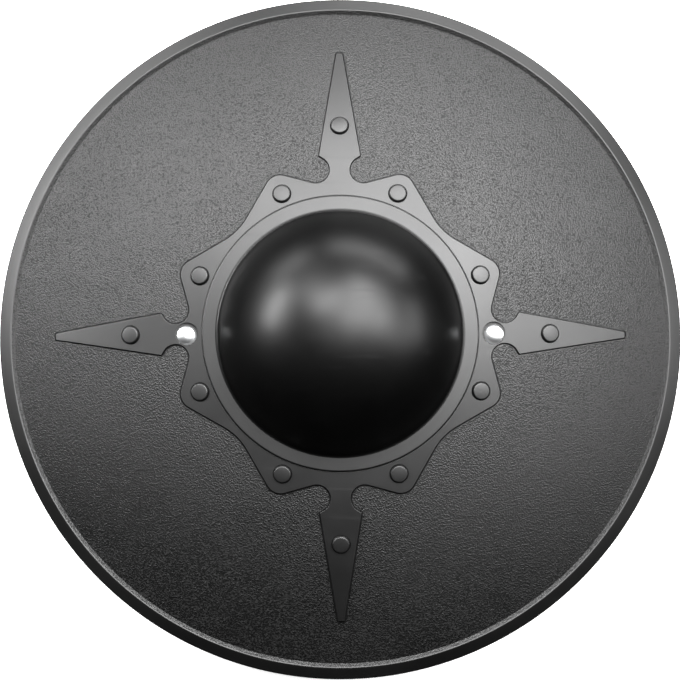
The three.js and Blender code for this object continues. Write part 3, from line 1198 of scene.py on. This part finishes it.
@dataclass
class Fasteners:
    """Carriage bolts with their washers and nuts, one set on each side."""

    sizes: ShieldSizes
    finish: PlatedSteel
    lug_bottom: float
    head_radius: float = 7.5 * MM
    head_height: float = 3.4 * MM
    head_edge: float = 0.9 * MM
    head_lip: float = 0.3 * MM
    dome_steps: int = 14
    sides: int = 64
    neck_side: float = 6.2 * MM
    neck_depth: float = 4 * MM
    neck_edge: float = 0.4 * MM
    shank_radius: float = 3 * MM
    length: float = 30 * MM
    pitch: float = 1 * MM
    thread_length: float = 18 * MM
    thread_depth: float = 0.35 * MM
    washer_radius: float = 8 * MM
    washer_thickness: float = 1.6 * MM
    washer_edge: float = 0.25 * MM
    nut_across: float = 10 * MM
    nut_height: float = 6 * MM
    nut_edge: float = 0.35 * MM
    nut_top_radius: float = 4.2 * MM
    nut_top_height: float = 1.4 * MM
    nut_top_edge: float = 0.5 * MM
    bore_sides: int = 48
    pieces: list[Object] = field(default_factory=list)

    def build(self) -> list[Object]:
        """Models one bolt, washer and nut, and copies them to both sides.

        Returns:
            The six pieces.
        """
        s = self.sizes
        material = self.finish.material()
        models = {"bolt": self._bolt(), "washer": self._washer(), "nut": self._nut()}
        for kind, model in models.items():
            model.data.materials.clear()
            model.data.materials.append(material)
            Bench.smooth(model)
            for side in Side:
                place = Matrix.Translation((side.value * s.bolt_reach, -s.bolt_drop, 0))
                node = f"{kind}_{side.label}"
                piece = Bench.copy(model, f"targe_{node}", place)
                hand_over(piece, node)
                self.pieces.append(piece)
            bpy.data.objects.remove(model)
        return self.pieces

    def _bolt(self) -> Object:
        """Low domed head, square neck and threaded shank, on the Z axis."""
        s = self.sizes
        base = s.recess_floor + s.gap
        dome = self.head_height - self.head_edge
        sphere = (self.head_radius**2 + dome**2) / (2 * dome)
        centre = base + self.head_height - sphere
        rim = math.degrees(math.acos(self.head_radius / sphere))
        tip = base - self.length
        core = self.shank_radius - self.thread_depth
        thread_top = tip + self.thread_length
        points = [(0, tip), (core - self.thread_depth, tip)]
        height = tip + self.pitch / 2
        while height < thread_top:
            points += [(self.shank_radius, height), (core, height + self.pitch / 2)]
            height += self.pitch
        points += [
            (self.shank_radius, thread_top + self.pitch),
            (self.shank_radius, base),
            (self.head_radius - self.head_lip, base),
            (self.head_radius, base + self.head_lip),
        ]
        line = upright(points) + arc((0, centre), sphere, rim, 90, self.dome_steps)
        bolt = Bench.turn("bolt", line, self.sides)
        neck_middle = base - self.neck_depth / 2 + s.root / 2
        neck_sides = (self.neck_side, self.neck_side, self.neck_depth + s.root)
        neck = Bench.block("neck", neck_sides, (0, 0, neck_middle))
        Bench.bevel_edges(neck, self.neck_edge, 2, lambda edge: True)
        Bench.carve(bolt, neck, Cut.JOIN)
        return bolt

    def _washer(self) -> Object:
        """Flat washer with rounded rims."""
        top = self.lug_bottom - self.sizes.gap
        bottom = top - self.washer_thickness
        bore = self.shank_radius + self.sizes.gap
        edge = self.washer_edge
        inner, outer = bore + edge, self.washer_radius - edge
        low, high = bottom + edge, top - edge
        points = []
        for quarter, corner in enumerate(((outer, low), (outer, high), (inner, high), (inner, low))):
            points += arc(corner, edge, 90 * quarter - 90, 90 * quarter, 3)
        return Bench.turn("washer", [*points, points[0]], self.sides)

    def _nut(self) -> Object:
        """Six-sided nut with bevelled corners, a round collar and a bore."""
        top = self.lug_bottom - 2 * self.sizes.gap - self.washer_thickness
        bottom = top - self.nut_height
        hex_bottom = bottom + self.nut_top_height
        height = top - hex_bottom
        corner_radius = self.nut_across / math.sqrt(3)
        nut = Bench.drum("nut", corner_radius, height, AXIS_Z * (hex_bottom + height / 2), 6)
        Bench.bevel_edges(nut, self.nut_edge, 2, lambda edge: True)
        depth = self.nut_top_height + self.sizes.root
        collar = Bench.drum("nut_collar", self.nut_top_radius, depth, AXIS_Z * (bottom + depth / 2), self.sides)
        Bench.bevel_rim(collar, self.nut_top_edge, 3, bottom, side=-1)
        Bench.carve(nut, collar, Cut.JOIN)
        bore = self.shank_radius + self.sizes.gap
        hole = Bench.drum("nut_bore", bore, 4 * self.nut_height, AXIS_Z * bottom, self.bore_sides)
        Bench.carve(nut, hole, Cut.REMOVE)
        return nut


@dataclass(frozen=True)
class SoftLight:
    """A rectangular soft light that faces the middle of the shield."""

    name: str
    tilt: float
    bearing: float
    size: tuple[float, float]
    power: float
    distance: float = 1.6

    def build(self, aim: Vector) -> Object:
        """Adds the light, at its tilt from straight up and its bearing from +X, and turns it to a point."""
        data = bpy.data.lights.new(self.name, "AREA")
        data.shape = "RECTANGLE"
        data.size, data.size_y = self.size
        data.energy = self.power
        lamp = bpy.data.objects.new(self.name, data)
        bpy.context.scene.collection.objects.link(lamp)
        tilt, bearing = math.radians(self.tilt), math.radians(self.bearing)
        way = Vector((math.sin(tilt) * math.cos(bearing), math.sin(tilt) * math.sin(bearing), math.cos(tilt)))
        lamp.location = aim + way * self.distance
        lamp.rotation_euler = (-way).to_track_quat("-Z", "Y").to_euler()
        return lamp


@dataclass
class Studio:
    """Pale floor, soft lights, dim surroundings and the camera."""

    crown: float
    floor_size: float = 6.0
    floor_drop: float = 0.05 * MM
    floor_tone: float = 0.9
    floor_glow: float = 0.9
    gloom: float = 0.001
    tilt: float = 3.34
    roll: float = 0.29
    distance: float = 2.3016
    focal_pixels: float = 3000
    image_size: float = 680
    aim: tuple[float, float] = (-0.0002, -0.0056)
    lights: tuple[SoftLight, ...] = (
        SoftLight("key", 38, 50, (1.4, 0.7), 38),
        SoftLight("key core", 41, 58, (0.6, 0.5), 15),
        SoftLight("key high", 18, 50, (0.6, 0.5), 20),
        SoftLight("key right", 35, 15, (0.6, 0.6), 15),
        SoftLight("far right", 52, 0, (0.5, 0.5), 6),
        SoftLight("upper left", 30, 112, (0.7, 0.5), 31),
        SoftLight("middle left", 48, 125, (0.6, 0.5), 9),
        SoftLight("left strip", 63, 157, (0.8, 0.25), 41),
        SoftLight("low top", 80, 70, (1.6, 0.35), 22),
        SoftLight("low top left", 78, 125, (0.8, 0.35), 10),
        SoftLight("low right", 68, 10, (0.8, 0.35), 9),
        SoftLight("overhead", 6, 80, (0.9, 0.7), 8),
    )

    def build(self) -> None:
        """Makes the floor, the lights, the surroundings and the camera."""
        self._floor()
        for light in self.lights:
            light.build(Vector((0, 0, self.crown)))
        self._surroundings()
        self._camera()

    def _floor(self) -> None:
        """Pale matt floor that the shield lies on."""
        Bench.clear()
        bpy.ops.mesh.primitive_plane_add(size=self.floor_size, location=(0, 0, -self.floor_drop))
        floor = Bench.named("floor")
        material = bpy.data.materials.new("pale floor")
        material.use_nodes = True
        shader = material.node_tree.nodes["Principled BSDF"]
        shader.inputs["Base Color"].default_value = (*(self.floor_tone,) * 3, 1)
        shader.inputs["Roughness"].default_value = 0.9
        shader.inputs["Emission Color"].default_value = (1, 1, 1, 1)
        shader.inputs["Emission Strength"].default_value = self.floor_glow
        floor.data.materials.append(material)
        floor.visible_glossy = False

    def _surroundings(self) -> None:
        """Dim even surroundings."""
        world = bpy.data.worlds.new("dim studio")
        world.use_nodes = True
        world.node_tree.nodes["Background"].inputs["Color"].default_value = (*(self.gloom,) * 3, 1)
        bpy.context.scene.world = world
        bpy.context.scene.view_settings.view_transform = "Standard"

    def _camera(self) -> None:
        """Camera a little off the shield's axis, towards -Y, on a long lens."""
        data = bpy.data.cameras.new("camera")
        data.lens = data.sensor_width * self.focal_pixels / self.image_size
        data.clip_end = 20
        camera = bpy.data.objects.new("camera", data)
        bpy.context.scene.collection.objects.link(camera)
        lean = math.radians(self.tilt)
        crown = Vector((0, 0, self.crown))
        place = crown + Vector((0, -math.sin(lean), math.cos(lean))) * self.distance
        target = Vector((*self.aim, self.crown))
        facing = (target - place).to_track_quat("-Z", "Y").to_matrix().to_4x4()
        camera.matrix_world = Matrix.Translation(place) @ facing @ Matrix.Rotation(-math.radians(self.roll), 4, "Z")
        bpy.context.scene.camera = camera


def report(pieces: list[Object]) -> None:
    """Logs each piece with its number of faces and its size in millimetres."""
    for piece in pieces:
        size = [round(side / MM, 1) for side in piece.dimensions]
        LOG.info("%s: %d faces, %s mm", piece.name, len(piece.data.polygons), size)


def main() -> None:
    """Builds the shield, then the studio."""
    logging.basicConfig(level=logging.INFO, format="%(name)s: %(message)s")
    sizes = ShieldSizes(outer_radius=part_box("shell")[1].x)
    finishes = {
        Skin.FIELD: MouldedPlastic("pebbled face", roughness=0.36, reflectance=0.4, grain_depth=0.2 * MM),
        Skin.SATIN: MouldedPlastic("satin plate"),
        Skin.BOSS: MouldedPlastic("semi-gloss boss", roughness=0.34, reflectance=0.23, fine_depth=0.004 * MM),
        Skin.BACK: MouldedPlastic("satin back", roughness=0.45, fine_depth=0.02 * MM),
    }
    shell = Shell(sizes, StarPlate(sizes), Rivets(sizes), finishes).build()
    report([shell])
    grip = Grip(sizes, MouldedPlastic("grip plastic", roughness=0.5, grain_depth=0.05 * MM))
    report([grip.build()])
    fasteners = Fasteners(sizes, PlatedSteel("bright plating"), grip.top - grip.lug_thickness)
    report(fasteners.build())
    Studio(crown=sizes.face(0)).build()


if __name__ == "__main__":
    main()
